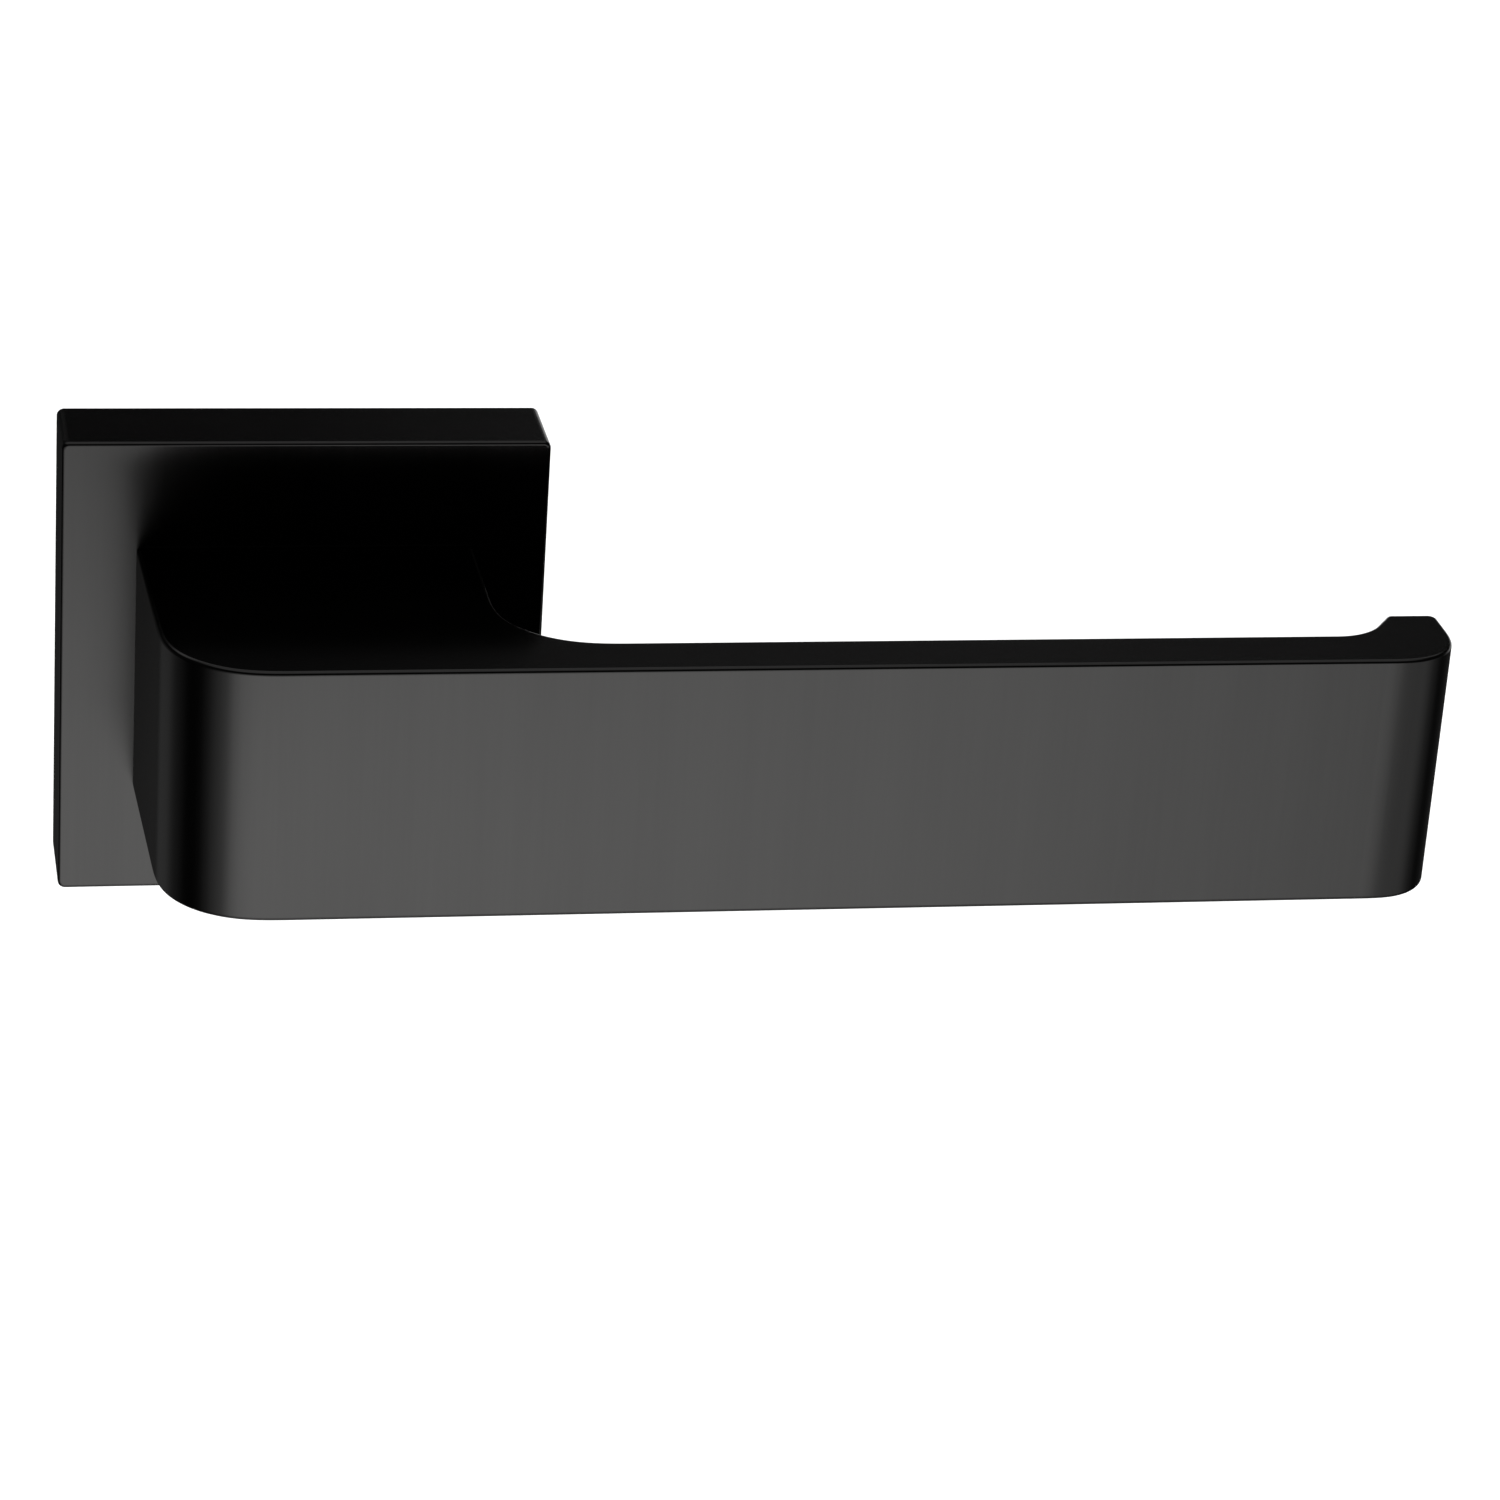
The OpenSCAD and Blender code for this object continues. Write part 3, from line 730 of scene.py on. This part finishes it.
def studio():
    """Soft studio surroundings: a broad light low in front, dark flags to the sides, a softbox overhead and weak lights behind."""
    world = bpy.data.worlds.new("studio")
    bpy.context.scene.world = world
    world.use_nodes = True
    nt = world.node_tree
    nt.nodes.clear()

    def math_node(op, a, b=None, c=None, clamp=False):
        n = nt.nodes.new("ShaderNodeMath")
        n.operation, n.use_clamp = op, clamp
        for i, v in enumerate((a, b, c)):
            if v is None:
                continue
            if isinstance(v, (int, float)):
                n.inputs[i].default_value = v
            else:
                nt.links.new(v, n.inputs[i])
        return n.outputs[0]

    def smooth(v, lo, hi, out0, out1):
        n = nt.nodes.new("ShaderNodeMapRange")
        n.interpolation_type = "SMOOTHSTEP"
        for k, val in (("From Min", lo), ("From Max", hi), ("To Min", out0), ("To Max", out1)):
            n.inputs[k].default_value = val
        nt.links.new(v, n.inputs["Value"])
        return n.outputs["Result"]

    co = nt.nodes.new("ShaderNodeTexCoord")
    xyz = nt.nodes.new("ShaderNodeSeparateXYZ")
    nt.links.new(co.outputs["Generated"], xyz.inputs[0])
    x, y, z = xyz.outputs
    el = math_node("MULTIPLY", math_node("ARCSINE", z), 180 / math.pi)                       # degrees above the horizon
    az = math_node("MULTIPLY", math_node("ARCTAN2", x, math_node("MULTIPLY", y, -1.0)), 180 / math.pi)  # 0 in front, + to the right
    t = math_node("MULTIPLY_ADD", az, 1 / 360, 0.5)

    ring = nt.nodes.new("ShaderNodeValToRGB")
    ring.color_ramp.interpolation = "EASE"
    e = ring.color_ramp.elements
    e[0].position, e[1].position = 0.0, 1.0
    for a_, v in RING:
        stop = e[0] if a_ == -180 else e[len(e) - 1] if a_ == 180 else e.new(a_ / 360 + 0.5)
        stop.color = (v, v, v, 1)
    nt.links.new(t, ring.inputs[0])
    low = ring.outputs[0]

    below = smooth(el, LOW_EDGE[0], LOW_EDGE[1], 1, 0)                 # 1 under the horizon
    ground = smooth(el, -75, -50, 1, 0)                                # 1 straight down
    over = smooth(el, 48, 66, 0, 1)                                    # 1 overhead
    side = math_node("MULTIPLY", below, math_node("SUBTRACT", 1.0, ground))
    # the front light is brightest 25 degrees down, and fades upwards on its left half
    fade = math_node("MULTIPLY", smooth(el, -26, -18, 0, 1 - BAND_TOP), smooth(az, 5, 14, 1, 0.1))
    band = math_node("MULTIPLY", math_node("SUBTRACT", 1.0, fade), smooth(el, -34, -25.5, BAND_FOOT, 1))
    v = math_node("MULTIPLY", math_node("MULTIPLY", low, side), band)
    v = math_node("MULTIPLY_ADD", ground, GROUND, v)
    v = math_node("MULTIPLY_ADD", over, OVER, v)
    strip = math_node("MULTIPLY", smooth(az, 156, 165, 0, 1), smooth(az, 169, 174, 1, 0))         # a weak strip light behind, to the right
    strip = math_node("MULTIPLY_ADD", strip, STRIP, ABOVE)
    v = math_node("MULTIPLY_ADD", math_node("SUBTRACT", 1.0, below), strip, v)
    # two rear lights, one level with the object and one higher, that only rear surfaces reflect
    behind = math_node("ADD", smooth(az, 100, 130, 0, 1), smooth(az, -173, -167, 1, 0))
    level = math_node("MULTIPLY", smooth(el, -18, -11, 0, 1), smooth(el, 3, 10, 1, 0))
    v = math_node("MULTIPLY_ADD", math_node("MULTIPLY", behind, level), REAR, v)
    back = smooth(math_node("ABSOLUTE", az), 110, 140, 0, 1)
    high = math_node("MULTIPLY", smooth(el, 33, 40, 0, 1), smooth(el, 46, 54, 1, 0))
    v = math_node("MULTIPLY_ADD", math_node("MULTIPLY", back, high), REAR_HIGH, v)
    v = math_node("ADD", v, AMBIENT)
    lp = nt.nodes.new("ShaderNodeLightPath")
    again = math_node("GREATER_THAN", lp.outputs["Ray Depth"], 2.5)    # light that reaches the metal by way of another surface
    v = math_node("MULTIPLY", v, math_node("MULTIPLY_ADD", again, DEEP - 1.0, 1.0))

    bg = nt.nodes.new("ShaderNodeBackground")
    bg.inputs["Color"].default_value = (1, 1, 1, 1)
    nt.links.new(v, bg.inputs["Strength"])
    white = nt.nodes.new("ShaderNodeBackground")
    white.inputs["Color"].default_value = (1, 1, 1, 1)
    mx = nt.nodes.new("ShaderNodeMixShader")
    out = nt.nodes.new("ShaderNodeOutputWorld")
    nt.links.new(lp.outputs["Is Camera Ray"], mx.inputs[0])
    nt.links.new(bg.outputs[0], mx.inputs[1])
    nt.links.new(white.outputs[0], mx.inputs[2])
    nt.links.new(mx.outputs[0], out.inputs["Surface"])


# brightness round the ring just below the horizon, by azimuth in degrees
RING = [(-180, 0.015), (-165, 0.029), (-148, 0.092), (-132, 0.132), (-114, 0.055), (-92, 0.001), (-78, 0.002), (-66, 0.055), (-55, 0.189),
        (-44, 0.278), (-34, 0.70), (-24, 0.95), (-10, 1.02), (6, 1.04), (12, 1.05), (16, 0.91), (20, 0.54), (26, 0.28), (38, 0.28),
        (58, 0.28), (70, 0.18), (82, 0.07), (100, 0.01), (150, 0.035), (180, 0.015)]
LOW_EDGE = (-4, 10)
BAND_TOP, BAND_FOOT, DEEP = 0.35, 0.55, 0.25
REAR, REAR_HIGH = 0.60, 0.35
GROUND, OVER, ABOVE, STRIP, AMBIENT = 0.35, 0.22, 0.008, 0.033, 0.004
studio()


def aim(ob, loc, target):
    ob.location = loc
    ob.rotation_mode = "QUATERNION"
    ob.rotation_quaternion = (Vector(target) - Vector(loc)).to_track_quat("-Z", "Y")


def sun(name, loc, strength, angle):
    li = bpy.data.lights.new(name, "SUN")
    li.energy, li.angle = strength, math.radians(angle)
    ob = bpy.data.objects.new(name, li)
    bpy.context.scene.collection.objects.link(ob)
    aim(ob, loc, (0, 0, 0))
    return ob


room_light = sun("room_light", (0.2, -0.4, 2.0), 4.6, 70)
room_light.visible_glossy = False


def softbox(name, loc, target, sx, sy, power, only):
    li = bpy.data.lights.new(name, "AREA")
    li.shape, li.size, li.size_y, li.energy = "RECTANGLE", sx, sy, power
    ob = bpy.data.objects.new(name, li)
    bpy.context.scene.collection.objects.link(ob)
    aim(ob, loc, target)
    ob.light_linking.receiver_collection = only
    return ob


# the works behind the rose have softboxes of their own, so that they read from behind and from below
works = bpy.data.collections.new("works")
for ob in bpy.context.scene.objects:
    if ob.type == "MESH" and ob.name not in ("lever_handle_body", "rose_cover_shell", "floor") and not ob.hide_render:
        works.objects.link(ob)
softbox("works_behind", (0.25, 1.1, 0.55), (0, 0.02, 0), 1.3, 0.9, 11, works)
softbox("works_low", (-0.5, 0.9, -0.5), (0, 0.02, 0), 1.1, 0.6, 7, works)

cam = bpy.data.cameras.new("camera")
camo = bpy.data.objects.new("camera", cam)
bpy.context.scene.collection.objects.link(camo)
bpy.context.scene.camera = camo
yaw, pitch, roll = math.radians(11.727), math.radians(24.042), math.radians(4.028)
fwd = Vector((math.sin(yaw) * math.cos(pitch), math.cos(yaw) * math.cos(pitch), -math.sin(pitch)))
right = Vector((math.cos(yaw), -math.sin(yaw), 0))
up = right.cross(fwd)
r2 = math.cos(roll) * right + math.sin(roll) * up
u2 = -math.sin(roll) * right + math.cos(roll) * up
camo.matrix_world = Matrix((
    (r2.x, u2.x, -fwd.x, -0.05383),
    (r2.y, u2.y, -fwd.y, -0.51050),
    (r2.z, u2.z, -fwd.z, 0.21727),
    (0, 0, 0, 1)))
cam.sensor_width = 36.0
cam.lens = 5047.9 / 1500 * 36
cam.clip_start, cam.clip_end = 0.01, 50

vs = bpy.context.scene.view_settings
vs.view_transform, vs.look, vs.exposure, vs.gamma = "Standard", "None", 0.0, 1.0
